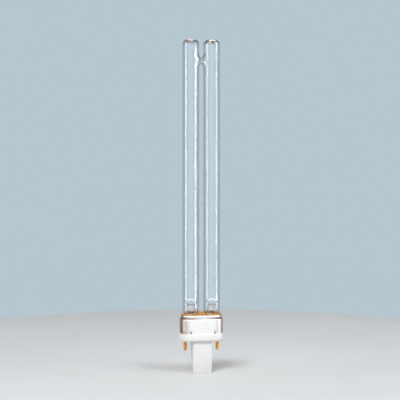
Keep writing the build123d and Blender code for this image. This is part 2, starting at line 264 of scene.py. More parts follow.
def outline(name, width, depth, corner, height, cuts):
    """A rounded rectangle as a loop of edges, left selected in edit mode."""
    place = (0, 0, height)
    piece = fresh(name, bpy.ops.mesh.primitive_plane_add, size=1, location=place)
    bpy.ops.transform.resize(value=(width, depth, 1), center_override=place)
    bpy.ops.mesh.bevel(offset=corner, offset_type="ABSOLUTE", segments=12, affect="VERTICES")
    bpy.ops.mesh.delete(type="ONLY_FACE")
    for axis, number in enumerate(cuts):
        pick(piece, "EDGE", lambda p: abs(p[axis]) < 0.01 * MM)
        bpy.ops.mesh.subdivide(number_cuts=number)
    bpy.ops.mesh.select_all(action="SELECT")
    return piece


def oval_rings(profile):
    """Rings of the collar's outline from a profile of (inset, height)."""
    return [(collar_width - 2 * inset, collar_depth - 2 * inset, height) for inset, height in profile]


def quarter(steps):
    """Sine and cosine at even steps from 0 to 90 degrees."""
    turns = [math.pi / 2 * k / steps for k in range(steps + 1)]
    return [(math.sin(turn), math.cos(turn)) for turn in turns]


def tidy():
    """Merges doubles, turns the faces outwards and leaves edit mode."""
    bpy.ops.mesh.select_mode(type="VERT")
    bpy.ops.mesh.select_all(action="SELECT")
    bpy.ops.mesh.remove_doubles(threshold=0.001 * MM)
    bpy.ops.mesh.normals_make_consistent(inside=False)
    enter("OBJECT")


def cap_border(piece, height, grid=False):
    """Closes the open loop at a height, with a grid or with one face."""
    pick_border(piece, near(height))
    if grid:
        bpy.ops.mesh.fill_grid()
    else:
        bpy.ops.mesh.edge_face_add()


def close(piece, *heights, grid=False):
    """Closes the open loops at some heights and finishes the mesh."""
    for height in heights:
        cap_border(piece, height, grid)
    tidy()


def solid(name, rings, sides, x=0.0, grid=False):
    """A closed stack of rings about an upright axis."""
    piece = lathe(name, rings, sides, x)
    close(piece, rings[0][2], rings[-1][2], grid=grid)
    return piece


def ease(shift, reach, **options):
    """Moves what is selected, and what lies within a reach of it by less and less."""
    bpy.ops.transform.translate(value=shift, use_proportional_edit=True, proportional_size=reach, **options)


def push(piece, spot, reach, shift):
    """Moves the surface round a spot, fading out over a reach, as a punch does."""
    pick(piece, "VERT", lambda p: (p - spot).length < reach / 3)
    ease(shift, reach, proportional_edit_falloff="SPHERE")


def only(piece):
    """Selects a piece by itself and makes it active."""
    bpy.ops.object.select_all(action="DESELECT")
    piece.select_set(True)
    bpy.context.view_layer.objects.active = piece


def join(piece, *others):
    """Joins others into a piece."""
    only(piece)
    for other in others:
        other.select_set(True)
    bpy.ops.object.join()


def apply(piece, kind, **values):
    """Adds a modifier with the given values and applies it."""
    only(piece)
    bpy.ops.object.modifier_add(type=kind)
    modifier = piece.modifiers[-1]
    for key, value in values.items():
        setattr(modifier, key, value)
    bpy.ops.object.modifier_apply(modifier=modifier.name)


def carve(piece, cutter, operation="DIFFERENCE"):
    """Cuts a piece with a cutter, which is then removed."""
    apply(piece, "BOOLEAN", object=cutter, operation=operation, solver="MANIFOLD")
    bpy.data.objects.remove(cutter)


def cover(piece, finish):
    """Gives a piece its one material."""
    piece.data.materials.clear()
    piece.data.materials.append(finish)


def settle(piece, slot, finish, *nodes, limit=40):
    """Shades a finished piece and rides it on the lamp in place of its nodes."""
    only(piece)
    bpy.ops.object.shade_smooth_by_angle(angle=math.radians(limit))
    cover(piece, finish)
    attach(piece, "root")
    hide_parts(*nodes)


def dress(finish, *names):
    """Gives carried-over nodes their material."""
    for name in names:
        cover(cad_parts[name], finish)


def add_node(tree, kind, inputs=None, **settings):
    """A shader node with attribute settings and values or links for its inputs."""
    made = tree.nodes.new(kind)
    for key, value in settings.items():
        setattr(made, key, value)
    for key, value in (inputs or {}).items():
        if isinstance(value, bpy.types.NodeSocket):
            tree.links.new(value, made.inputs[key])
        else:
            made.inputs[key].default_value = value
    return made


def new_group(name, numbers, output):
    """A shader node group with a Vector, named numbers and one output."""
    tree = bpy.data.node_groups.new(name, "ShaderNodeTree")
    tree.interface.new_socket("Vector", in_out="INPUT", socket_type="NodeSocketVector")
    for key, default in numbers.items():
        socket = tree.interface.new_socket(key, in_out="INPUT", socket_type="NodeSocketFloat")
        socket.default_value = default
    tree.interface.new_socket(output, in_out="OUTPUT", socket_type="NodeSocketFloat")
    given = tree.nodes.new("NodeGroupInput").outputs
    return tree, given, tree.nodes.new("NodeGroupOutput").inputs[output]


def mottle_group():
    """Soft patches: noise spread between a low and a high value."""
    numbers = {"Scale": 400.0, "Detail": 4.0, "Low": 0.0, "High": 1.0}
    tree, given, out = new_group("Mottle", numbers, "Value")
    noise = add_node(tree, "ShaderNodeTexNoise", {key: given[key] for key in ("Vector", "Scale", "Detail")})
    limits = {"From Min": 0.3, "From Max": 0.7, "To Min": given["Low"], "To Max": given["High"]}
    spread = add_node(tree, "ShaderNodeMapRange", {"Value": noise.outputs["Fac"], **limits})
    tree.links.new(spread.outputs["Result"], out)


def draw_lines_group():
    """Fine lines along Z, as drawing leaves them on tube, sheet and wire."""
    tree, given, out = new_group("Draw lines", {"Pitch": 3000.0, "Length": 30.0}, "Height")
    pitch = {"X": given["Pitch"], "Y": given["Pitch"], "Z": given["Length"]}
    stretch = add_node(tree, "ShaderNodeCombineXYZ", pitch).outputs["Vector"]
    both = {0: given["Vector"], 1: stretch}
    scaled = add_node(tree, "ShaderNodeVectorMath", both, operation="MULTIPLY").outputs["Vector"]
    noise = add_node(tree, "ShaderNodeTexNoise", {"Vector": scaled, "Scale": 1.0, "Detail": 2.0})
    tree.links.new(noise.outputs["Fac"], out)


def specks_group():
    """Scattered small spots: 1 in a spot, 0 between them."""
    tree, given, out = new_group("Specks", {"Scale": 1500.0, "Size": 0.25}, "Mask")
    cells = add_node(tree, "ShaderNodeTexVoronoi", {key: given[key] for key in ("Vector", "Scale")})
    limits = {"From Min": given["Size"], "From Max": 0.0}
    mask = add_node(tree, "ShaderNodeMapRange", {"Value": cells.outputs["Distance"], **limits})
    tree.links.new(mask.outputs["Result"], out)


group_makers = {"Mottle": mottle_group, "Draw lines": draw_lines_group, "Specks": specks_group}


def effect(tree, group, **numbers):
    """Places a shared effect in a material, on object coordinates, with its own values."""
    if group not in bpy.data.node_groups:
        group_makers[group]()
    inputs = {"Vector": add_node(tree, "ShaderNodeTexCoord").outputs["Object"], **numbers}
    return add_node(tree, "ShaderNodeGroup", inputs, node_tree=bpy.data.node_groups[group]).outputs[0]


def calculate(tree, operation, *values):
    """What a math node makes of its values."""
    return add_node(tree, "ShaderNodeMath", dict(enumerate(values)), operation=operation).outputs[0]


def times(tree, *values):
    """The product of some values."""
    return reduce(partial(calculate, tree, "MULTIPLY"), values)


def largest(tree, *values):
    """The largest of some values."""
    return reduce(partial(calculate, tree, "MAXIMUM"), values)


def dot(tree, vector, axis):
    """How far a vector reaches along an axis."""
    both = {0: vector, 1: axis}
    return add_node(tree, "ShaderNodeVectorMath", both, operation="DOT_PRODUCT").outputs["Value"]


def ramp(tree, value, low, high):
    """A mask that runs from 0 to 1 as a value goes from low to high."""
    limits = {"Value": value, "From Min": low, "From Max": high}
    return add_node(tree, "ShaderNodeMapRange", limits).outputs["Result"]


def along_axis(tree, axis, low, high):
    """A mask that runs from 0 to 1 between two distances along an axis, alike on both sides of zero."""
    place = add_node(tree, "ShaderNodeTexCoord").outputs["Object"]
    along = add_node(tree, "ShaderNodeSeparateXYZ", {"Vector": place}).outputs[axis]
    return ramp(tree, calculate(tree, "ABSOLUTE", along), low, high)


def band(tree, axis, low, high, fade_in, fade_out):
    """A mask of 1 between two distances along an axis, which fades on either side."""
    rise = along_axis(tree, axis, low - fade_in, low)
    return times(tree, rise, along_axis(tree, axis, high + fade_out, high))


def blend(tree, mask, low, high):
    """A colour that runs from low to high with a mask. Each end is a colour or a link."""
    ends = [end if isinstance(end, bpy.types.NodeSocket) else (*end, 1) for end in (low, high)]
    inputs = {MIX_MASK: mask, MIX_LOW: ends[0], MIX_HIGH: ends[1]}
    return add_node(tree, "ShaderNodeMix", inputs, data_type="RGBA").outputs[MIX_RESULT]


def paint(tree, shader, mask, low, high):
    """Colours a shader from low to high with a mask."""
    tree.links.new(blend(tree, mask, low, high), shader.inputs["Base Color"])


def roughen(tree, shader, **numbers):
    """Gives a shader an uneven gloss."""
    tree.links.new(effect(tree, "Mottle", **numbers), shader.inputs["Roughness"])


def bump(tree, shader, height, strength, distance):
    """Adds a height to what already feeds a shader's normal."""
    inputs = {"Height": height, "Strength": strength, "Distance": distance}
    made = add_node(tree, "ShaderNodeBump", inputs)
    for link in shader.inputs["Normal"].links:
        tree.links.new(link.from_socket, made.inputs["Normal"])
    tree.links.new(made.outputs["Normal"], shader.inputs["Normal"])


def material(name, **values):
    """A node material, its tree and its shader with plain values set."""
    made = bpy.data.materials.new(name)
    made.use_nodes = True
    shader = made.node_tree.nodes["Principled BSDF"]
    for key, value in values.items():
        shader.inputs[key.replace("_", " ")].default_value = value
    return made, made.node_tree, shader


def let_light_in(tree, shader, tint):
    """Lets the lamps shine through glass on what it holds."""
    rays = add_node(tree, "ShaderNodeLightPath").outputs
    clear = add_node(tree, "ShaderNodeBsdfTransparent", {"Color": (*tint, 1)})
    both = {0: rays["Is Shadow Ray"], 1: shader.outputs[0], 2: clear.outputs[0]}
    mix = add_node(tree, "ShaderNodeMixShader", both)
    tree.links.new(mix.outputs[0], tree.nodes["Material Output"].inputs["Surface"])


def glass_finish(name, clear, edge, ior, pitch=300.0, depth=0.0008 * MM):
    """Clear glass: tinted along its wall, with draw lines and smears."""
    values = {"IOR": ior, "Specular_IOR_Level": 0.9, "Transmission_Weight": 1.0, "Metallic": 0.0}
    made, tree, shader = material(name, **values)
    facing = add_node(tree, "ShaderNodeLayerWeight", {"Blend": 0.5}).outputs["Facing"]
    steepness = 1.5
    paint(tree, shader, calculate(tree, "POWER", facing, steepness), clear, edge)
    roughen(tree, shader, Scale=60.0, Detail=2.0, Low=0.0, High=0.012)
    bump(tree, shader, effect(tree, "Draw lines", Pitch=pitch, Length=1.0), 1.0, depth)
    let_light_in(tree, shader, clear)
    return made


def coat_finish(wires):
    """Chalky emitter coat."""
    made, tree, shader = material("Emitter coat")
    patch = effect(tree, "Mottle", Scale=2500.0, Low=0.9, High=1.0)
    paint(tree, shader, patch, wires.lead, wires.coat)
    roughen(tree, shader, Scale=1800.0, Low=0.7, High=0.95)
    bump(tree, shader, effect(tree, "Mottle", Scale=6000.0), 0.5, 0.05 * MM)
    return made


def lead_finish(wires):
    """Drawn lead wire, darkened by heat towards its clamp."""
    made, tree, shader = material("Heat-tinted wire", Metallic=1.0)
    hot = along_axis(tree, "Z", clamp_high.z - 4 * MM, clamp_high.z - 1.2 * MM)
    patch = times(tree, hot, effect(tree, "Mottle", Scale=900.0, Low=0.7, High=1.1))
    paint(tree, shader, patch, wires.lead, wires.heat)
    roughen(tree, shader, Scale=900.0, Low=0.25, High=0.55)
    bump(tree, shader, effect(tree, "Draw lines", Pitch=9000.0, Length=300.0), 0.2, 0.02 * MM)
    return made


def plated(name, bright, dull, gloss, lines):
    """A bright metal with dull patches, drawing lines and uneven gloss, and the colour to paint over."""
    made, tree, shader = material(name, Metallic=1.0)
    patch = effect(tree, "Mottle", Scale=140.0, Detail=6.0, Low=-0.6, High=0.5)
    roughen(tree, shader, Scale=450.0, Detail=5.0, Low=gloss[0], High=gloss[1])
    bump(tree, shader, effect(tree, "Draw lines", Pitch=2600.0, Length=60.0), lines, 0.05 * MM)
    return made, tree, shader, blend(tree, patch, bright, dull)


def stake_spots():
    """Middles of the four stakes that lock the collar to the cap, front and back."""
    x, z = 8.4 * MM, collar_low.z + 1.2 * MM
    return [Vector((i * x, j * collar_depth / 2, z)) for i in (-1, 1) for j in (-1, 1)]


def groove_shade(tree, base):
    """A patchy mask of painted shade in the collar's neck groove, stronger towards the collar's ends."""
    top = collar_high.z - base.rim
    level = band(tree, "Z", top - base.neck, top, fade_in=0.4 * MM, fade_out=0.3 * MM)
    patchy = effect(tree, "Mottle", Scale=160.0, Detail=3.0, Low=0.5, High=1.1)
    outward = along_axis(tree, "X", -0.35 * collar_high.x, 0.7 * collar_high.x)
    return times(tree, level, patchy, outward)


def stake_shade(tree):
    """A mask of painted shade at the stakes, down to the collar's foot."""
    stake = stake_spots()[-1]
    half, fade, strength = 0.4 * MM, 0.6 * MM, 0.8
    across = band(tree, "X", stake.x - half, stake.x + half, fade, fade)
    low = along_axis(tree, "Z", stake.z + 0.7 * MM, stake.z)
    return times(tree, across, low, strength)


def collar_finish(base):
    """Bright drawn metal, with a painted dark reflection towards its two ends and painted shade in the neck
    groove and at the stakes.
    """
    made, tree, shader, bright = plated("Bright collar", base.metal, base.dull, (0.36, 0.44), lines=0.05)
    # Painted dark reflection towards both ends, made uneven by random patches
    ends = along_axis(tree, "X", 0.58 * collar_high.x, 0.95 * collar_high.x)
    uneven = effect(tree, "Mottle", Scale=110.0, Detail=3.0, Low=0.65, High=1.0)
    painted_ends = blend(tree, times(tree, ends, uneven), bright, base.end_reflection)
    # Painted shade in the neck groove and at the stakes
    painted_shade = largest(tree, groove_shade(tree, base), stake_shade(tree))
    paint(tree, shader, painted_shade, painted_ends, base.recess_shade)
    return made


def pin_finish(base):
    """Brass with tarnished patches, and painted shade in the crimps, front and back."""
    made, tree, shader, brass = plated("Tarnished brass", base.brass, base.tarnish, (0.16, 0.36), lines=0.12)
    crimp = pin_low.z + base.crimp
    half, fade = 0.3 * MM, 0.5 * MM
    level = band(tree, "Z", crimp - half, crimp + half, fade, fade)
    facing = along_axis(tree, "Y", 0.55 * MM, 0.9 * MM)
    # Painted shade in the crimps, front and back
    paint(tree, shader, times(tree, level, facing), brass, base.crimp_shade)
    return made


def cement_finish(base):
    """Resin-bound cement: orange-brown with dark patches and pale grains."""
    made, tree, shader = material("Basing cement")
    patch = effect(tree, "Mottle", Scale=620.0, Detail=5.0, Low=-0.5, High=1.3)
    ground = blend(tree, patch, base.cement, base.resin)
    paint(tree, shader, effect(tree, "Specks", Scale=800.0, Size=0.4), ground, base.grain)
    roughen(tree, shader, Scale=800.0, Low=0.35, High=0.85)
    bump(tree, shader, effect(tree, "Mottle", Scale=1600.0, Detail=6.0), 0.6, 0.15 * MM)
    return made


def plastic_finish(base):
    """Satin white moulding with a fine spark-eroded grain."""
    made, tree, shader = material("White moulding", IOR=1.5)
    paint(tree, shader, effect(tree, "Mottle", Scale=110.0, Detail=5.0), base.plastic, base.flow)
    roughen(tree, shader, Scale=700.0, Low=0.34, High=0.5)
    bump(tree, shader, effect(tree, "Mottle", Scale=5200.0, Detail=2.0), 0.15, 0.03 * MM)
    return made


def plain_finish(name, low, high, metallic, rough):
    """A quiet two-tone finish for small pieces."""
    made, tree, shader = material(name, Metallic=metallic)
    paint(tree, shader, effect(tree, "Mottle", Scale=600.0), low, high)
    roughen(tree, shader, Scale=900.0, Low=rough, High=rough + 0.2)
    return made


class LAMP_OT_discharge_tube(Operator):
    """Blows the two limbs and the bridge that joins them as one piece of clear glass"""

    bl_idname = "lamp.discharge_tube"
    bl_label = "Discharge tube"

    # Rings start larger by the share that smoothing draws them in
    sides = 24
    row = 2.4 * MM
    swell = 3 / (2 + math.cos(2 * math.pi / sides))
    lumps = 7

    def limb_profile(self, glass, bridge):
        """Radius and height up a limb, swollen so that smoothing brings it back to its true size."""
        grow = self.swell
        support = 3.0 * MM
        beside = [bridge + k * self.row for k in range(-3, 4)]
        run = beside[0] - glass_low.z
        heights = [glass_low.z, glass_low.z + support]
        heights += [glass_low.z + run * k / 5 for k in range(1, 5)] + beside
        reach = limb_radius - glass.shoulder
        rise = math.sqrt((glass.crown - glass.shoulder) ** 2 - reach**2)
        centre = glass_high.z - glass.crown
        heights.append(centre + rise - support)
        profile = [(limb_radius * grow, height) for height in heights]
        top = math.atan2(rise, reach)
        swell = glass.shoulder * 3 / (2 + math.cos(top / 4))
        for k in range(5):
            turn = top * k / 4
            profile.append(((reach + swell * math.cos(turn)) * grow, centre + rise + swell * math.sin(turn)))
        for k in (1, 2):
            turn = top + (math.pi / 2 - top) * k / 3
            profile.append((glass.crown * math.cos(turn) * grow, centre + glass.crown * math.sin(turn)))
        return profile

    def open_hole(self, piece, side, bridge, root):
        """Cuts the patch that faces the other limb and draws its border in to a round hole on the limb."""
        axis = side * limb_axis
        spread, half_height = math.radians(60.5), 2.02 * self.row

        def inside(p):
            level = abs(p.z - bridge) < half_height and side * p.x > 0
            return level and abs(math.atan2(p.y, side * (axis - p.x))) < spread

        def place(p):
            return round(abs(p.y) / MM, 2), round(abs(p.z - bridge) / MM, 2)

        pick(piece, "FACE", inside)
        bpy.ops.mesh.delete(type="FACE")
        mesh = bmesh.from_edit_mesh(piece.data)
        border = {place(v.co) for v in mesh.verts if v.is_boundary and inside(v.co)}
        swollen = self.swell * limb_radius / MM
        for spot in sorted(border):
            draw = root / MM / math.hypot(*spot)
            out = math.sqrt(swollen**2 - (draw * spot[0]) ** 2) / math.sqrt(swollen**2 - spot[0] ** 2)
            pick(piece, "VERT", lambda p: inside(p) and place(p) == spot)
            bpy.ops.transform.resize(value=(out, draw, draw), center_override=(axis, 0, bridge))

    def draw_neck(self, piece, bridge, glass):
        """Joins the two holes and draws the joint in to a waist."""
        reach = 1.1 * glass.root
        join_loops(piece, lambda p: abs(p.z - bridge) < reach, number_cuts=3, interpolation="LINEAR")
        waist, flank = 0.3 * MM, 1.8 * MM
        for near_x, far_x, radius in ((0.0, waist, glass.neck), (waist, flank, 1.2 * glass.neck)):
            draw = radius / glass.root

            def within(p):
                across = math.hypot(p.y, p.z - bridge)
                return near_x <= abs(p.x) < far_x and 0.97 * glass.root < across < reach

            pick(piece, "VERT", within)
            bpy.ops.transform.resize(value=(1, draw, draw), center_override=(0, 0, bridge))

    def thicken_crown(self, piece, glass):
        """Sinks the inside of both crowns, as glass gathers where an end is melted shut."""
        enter("EDIT")
        centre = glass_high.z - glass.crown
        shell = glass.crown - glass.wall / 2
        width, height = 3.5 * MM, 2.5 * MM

        def inside(p):
            across = math.hypot(abs(p.x) - limb_axis, p.y)
            in_crown = p.z > glass_high.z - height and across < width
            return in_crown and math.hypot(across, p.z - centre) < shell

        pick(piece, "VERT", inside)
        bpy.ops.transform.translate(value=(0, 0, glass.wall - glass.crown_wall))
        for _, side in SIDES:
            for k in range(self.lumps):
                self.lump(piece, side * limb_axis, 2 * math.pi * (k + side / 4) / self.lumps, glass)
        enter("OBJECT")

    def lump(self, piece, axis, turn, glass):
        """Lets one drop of glass sag on the inside of a crown."""
        ring, drop, size = 4.2 * MM, 3.3 * MM, 0.9 * MM
        sag, reach = 0.6 * MM, 1.6 * MM
        spot = Vector((axis + ring * math.cos(turn), ring * math.sin(turn), glass_high.z - drop))
        bore = limb_radius - 0.6 * glass.wall

        def inside(p):
            within = math.hypot(p.x - axis, p.y) < bore and p.z < glass_high.z - 0.6 * glass.crown_wall
            return within and (p - spot).length < size

        pick(piece, "VERT", inside)
        ease((0, 0, -sag), reach, use_proportional_connected=True)

    def finish(self, glass):
        """Clear glass, uneven where the crowns were melted shut."""
        made = glass_finish("Clear quartz", glass.clear, glass.edge, ior=1.46)
        tree = made.node_tree
        melted = along_axis(tree, "Z", glass_high.z - 5 * MM, glass_high.z - 3 * MM)
        height = times(tree, melted, effect(tree, "Mottle", Scale=420.0, Detail=1.0))
        bump(tree, tree.nodes["Principled BSDF"], height, 0.4, 0.2 * MM)
        return made

    def execute(self, context):
        glass = context.scene.lamp_glass
        bridge = glass_high.z - glass.bridge_drop
        profile = self.limb_profile(glass, bridge)
        piece = lathe("glass_limbs", turned(profile), self.sides, -limb_axis)
        cap_border(piece, profile[-1][1], grid=True)
        bpy.ops.mesh.select_all(action="SELECT")
        bpy.ops.mesh.duplicate_move(TRANSFORM_OT_translate={"value": (2 * limb_axis, 0, 0)})
        for _, side in SIDES:
            self.open_hole(piece, side, bridge, glass.root)
        self.draw_neck(piece, bridge, glass)
        tidy()
        apply(piece, "SUBSURF", levels=2, render_levels=2)
        apply(piece, "SOLIDIFY", thickness=glass.wall, offset=-1.0, use_even_offset=True)
        self.thicken_crown(piece, glass)
        settle(piece, "quartz_glass", self.finish(glass), "discharge_tube")
        return {"FINISHED"}


class LAMP_OT_stems(Operator):
    """Flares and pinches the glass feet that seal the limbs, each with its tipped-off exhaust tube"""

    bl_idname = "lamp.stems"
    bl_label = "Stems"

    def skirt_rings(self, outer):
        """Up the bore, round the flare's rim and up the outside to the pinch, at heights in millimetres."""
        foot = glass_low.z
        inner = outer - 0.8 * MM
        inside = ((0.45, 5.6), (0.85, 5.4), (1.0, 4.9), (1.0, 4.2), (1.06, 3.1), (1.25, 1.6), (1.58, -0.2))
        rings = [(inner * k, inner * k, foot + z * MM) for k, z in inside]
        rim = ((4.55, -0.95), (5.1, -1.1), (5.7, -0.8), (6.0, -0.3), (6.0, 0.0), (5.1, 0.02))
        rim += ((4.55, 1.0), (3.95, 2.2), (3.55, 3.4))
        rings += [(r * MM, r * MM, foot + z * MM) for r, z in rim]
        pinch = ((1.0, 1.0, 4.6), (1.0, 1.0, 5.3), (1.01, 0.92, 6.3), (1.02, 0.76, 7.5), (1.04, 0.58, 8.8))
        pinch += ((1.05, 0.43, 9.8), (1.05, 0.38, 10.6), (1.05, 0.38, 13.2), (1.04, 0.37, 14.0))
        pinch += ((0.99, 0.32, 14.6), (0.9, 0.22, 14.93), (0.8, 0.12, 15.0))
        rings += [(outer * w, outer * d, foot + z * MM) for w, d, z in pinch]
        return rings

    def exhaust_profile(self):
        """Up the bore of the exhaust tube and down its outside to the sealed tip, in millimetres."""
        bore = ((0.25, -2.9), (0.75, -2.2), (0.75, 5.5))
        outside = ((1.4, 5.5), (1.4, -2.6), (1.1, -3.5), (0.35, -4.15))
        return [(r * MM, glass_low.z + z * MM) for r, z in bore + outside]

    def execute(self, context):
        glass = context.scene.lamp_glass
        tints = (glass.stem_clear, glass.stem_edge)
        finish = glass_finish("Stem glass", *tints, ior=1.52, pitch=650.0, depth=2.0 * MM)
        for name, side in SIDES:
            x = side * limb_axis
            piece = solid(f"{name}_stem_glass", self.skirt_rings(glass.stem_radius), 32, x, grid=True)
            join(piece, solid(f"{name}_exhaust", turned(self.exhaust_profile()), 16, x, grid=True))
            apply(piece, "SUBSURF", levels=1, render_levels=1)
            settle(piece, "stem_glass", finish, f"{name}_stem", limit=60)
        return {"FINISHED"}


class LAMP_OT_electrodes(Operator):
    """Winds the coated coils and dresses the lead wires and the plated tab"""

    bl_idname = "lamp.electrodes"
    bl_label = "Electrodes"

    def wind(self, name, x, height, wires):
        """An arched coil of coated wire with closed ends."""
        start = Vector((x - wires.coil_half, 0, height))
        rim = start + Vector((0, 0, wires.coil_radius))
        ring = {"vertices": 8, "radius": wires.coil_wire, "location": rim, "rotation": (math.pi / 2, 0, 0)}
        coil = fresh(name, bpy.ops.mesh.primitive_circle_add, **ring)
        enter("OBJECT")
        bpy.context.scene.cursor.location = start
        bpy.ops.object.origin_set(type="ORIGIN_CURSOR")
        bpy.context.scene.cursor.location = (0, 0, 0)
        pitch = 2 * wires.coil_half / wires.coil_turns
        rate = {"steps": 16, "render_steps": 16, "iterations": wires.coil_turns}
        apply(coil, "SCREW", axis="X", screw_offset=pitch, use_merge_vertices=False, **rate)
        bpy.ops.object.transform_apply()
        enter("EDIT")
        pick(coil, "VERT", lambda p: abs(p.x - x) < pitch)
        ease((0, 0, wires.arch), wires.coil_half, proportional_edit_falloff="INVERSE_SQUARE")
        for end in (x - wires.coil_half, x + wires.coil_half):
            pick_border(coil, lambda p: abs(p.x - end) < 2 * wires.coil_wire)
            bpy.ops.mesh.edge_face_add()
        tidy()
        return coil

    def tail(self, name, x, height, toward, wires):
        """A straight end of the coil's wire, swollen where the coat stops."""
        reach = ((0.9, 0.0), (1.5, 0.05), (1.6, 0.3), (1.25, 0.42), (1.2, 1.0))
        span, overlap = 1.75 * MM, 0.2 * MM
        rod = solid(name, turned([(wires.coil_wire * k, span * z) for k, z in reach]), 10)
        rod.rotation_euler = (0, toward * math.pi / 2, 0)
        rod.location = (x + toward * (wires.coil_half - overlap), 0, height)
        bpy.ops.object.transform_apply()
        return rod

    def execute(self, context):
        wires = context.scene.lamp_electrodes
        coat = coat_finish(wires)
        height = clamp_high.z - 0.5 * MM
        for name, side in SIDES:
            x = side * limb_axis
            coil = self.wind(f"{name}_coil", x, height, wires)
            tails = [self.tail(f"{name}_tail", x, height, toward, wires) for toward in (-1, 1)]
            join(coil, *tails)
            settle(coil, "coated_coil", coat, f"{name}_filament")
        leads = [f"{name}_{end}_lead" for name, _ in SIDES for end in ("inner", "outer")]
        dress(lead_finish(wires), *leads)
        grey = (0.8, 0.8, 0.8)
        dress(plain_finish("Plated tab", wires.tab, grey, metallic=0.3, rough=0.45), "amalgam_flag")
        return {"FINISHED"}


class LAMP_OT_collar(Operator):
    """Draws the bright collar with its rolled rim, neck groove and punched stakes"""

    bl_idname = "lamp.collar"
    bl_label = "Collar"

    def profile(self, base):
        """Inset and height: up the outside, over the rolled rim and down the inside."""
        foot = collar_low.z
        lip, row, inner_row = 0.12 * MM, 0.28 * MM, 0.5 * MM
        step = collar_high.z - base.rim - base.neck
        soft = base.shoulder
        points = [(base.sheet, foot), (lip, foot), (0.3 * lip, foot + 0.3 * lip), (0, foot + lip)]
        points += [(0, foot + row * k) for k in range(1, 14)]
        points += [(0, foot + 6 * MM), (0, step - 1.5 * soft)]
        points += [(soft * (1 - cos), step - soft + soft * sin) for sin, cos in quarter(6)]
        deep = base.neck_inset
        points += [(deep - 0.05 * MM, step), (deep, step + 0.06 * MM), (deep, step + 0.9 * base.neck)]
        bead, half, bulge = deep - base.roll, base.rim / 2, 0.6 * MM
        centre = collar_high.z - half
        for turn in range(-60, 91, 15):
            swing = math.radians(turn)
            points.append((bead + bulge * (1 - math.cos(swing)), centre + half * math.sin(swing)))
        inner = deep + base.sheet
        points += [(inner - 0.04 * MM, centre + 0.85 * half), (inner, centre + 0.6 * half)]
        points += [(inner, step - base.sheet)]
        tight = soft - base.sheet
        points += [(soft - tight * cos, step - soft + tight * sin) for sin, cos in reversed(quarter(6))]
        points += [(base.sheet, foot + 3.7 * MM)]
        points += [(base.sheet, foot + inner_row * k) for k in range(7, 0, -1)]
        return points

    def execute(self, context):
        base = context.scene.lamp_base
        rings = oval_rings(self.profile(base))
        width, depth, height = rings[0]
        piece = outline("collar_drawn", width, depth, base.corner - base.sheet, height, (60, 14))
        climb(rings)
        join_loops(piece)
        stroke, reach = 0.45 * MM, 1.2 * MM
        for spot in stake_spots():
            push(piece, spot, reach, (0, -math.copysign(stroke, spot.y), 0))
        tidy()
        settle(piece, "collar_metal", collar_finish(base), "collar_shell", limit=50)
        return {"FINISHED"}


class LAMP_OT_cement(Operator):
    """Pours the basing cement between collar and glass, with a rough top that creeps up the limbs"""

    bl_idname = "lamp.cement"
    bl_label = "Cement"

    roughness = 0.22 * MM
    creep_height = 0.2 * MM
    creep_reach = 0.8 * MM

    def pour(self, width, depth):
        """A block with a rough top, a tenth wider than the space that it is cut to."""
        top = cement_high.z
        grid = {"x_subdivisions": 120, "y_subdivisions": 64, "size": 1, "location": (0, 0, top)}
        piece = fresh("cement_fill", bpy.ops.mesh.primitive_grid_add, **grid)
        bpy.ops.transform.resize(value=(1.1 * width, 1.1 * depth, 1), center_override=(0, 0, top))
        bpy.ops.transform.vertex_random(offset=self.roughness, normal=1.0, seed=4)
        bpy.ops.mesh.vertices_smooth(factor=0.5, repeat=1)
        bpy.ops.mesh.extrude_region_move(TRANSFORM_OT_translate={"value": (0, 0, cement_low.z - top)})
        bpy.ops.transform.resize(value=(1, 1, 0), center_override=(0, 0, cement_low.z))
        tidy()
        return piece

    def space(self, base, width, depth):
        """The space inside the collar, which slopes in above the rim."""
        inset = base.neck_inset + base.sheet
        foot, top = cement_low.z + 0.1 * MM, cement_high.z + 2 * MM
        step = collar_high.z - base.rim - base.neck - base.sheet
        brim = collar_high.z - base.cement_drop
        crest = inset + math.tan(base.cement_slope) * (top - brim)
        profile = [(base.sheet, foot), (base.sheet, step - 0.5 * MM), (inset, step)]
        profile += [(inset, brim), (crest, top)]
        prism = outline("prism", width, depth, base.corner - base.sheet, foot, (1, 1))
        climb(oval_rings(profile))
        close(prism, foot, top)
        return prism

    def creep(self, piece):
        """Draws the cement's edge a little way up both limbs."""
        enter("EDIT")
        edge = limb_radius + 0.05 * MM
        for _, side in SIDES:
            axis = side * limb_axis
            pick(piece, "VERT", lambda p: p.z > cement_high.z - MM and math.hypot(p.x - axis, p.y) < edge)
            ease((0, 0, self.creep_height), self.creep_reach)
        enter("OBJECT")

    def execute(self, context):
        base = context.scene.lamp_base
        width, depth = collar_width - 2 * base.sheet, collar_depth - 2 * base.sheet
        piece = self.pour(width, depth)
        carve(piece, self.space(base, width, depth), "INTERSECT")
        over = 5 * MM
        ends = (cement_low.z - over, cement_high.z + over)
        for _, side in SIDES:
            carve(piece, solid("limb", turned([(limb_radius, z) for z in ends]), 64, side * limb_axis))
        self.creep(piece)
        settle(piece, "cement", cement_finish(base), "basing_cement", limit=60)
        return {"FINISHED"}


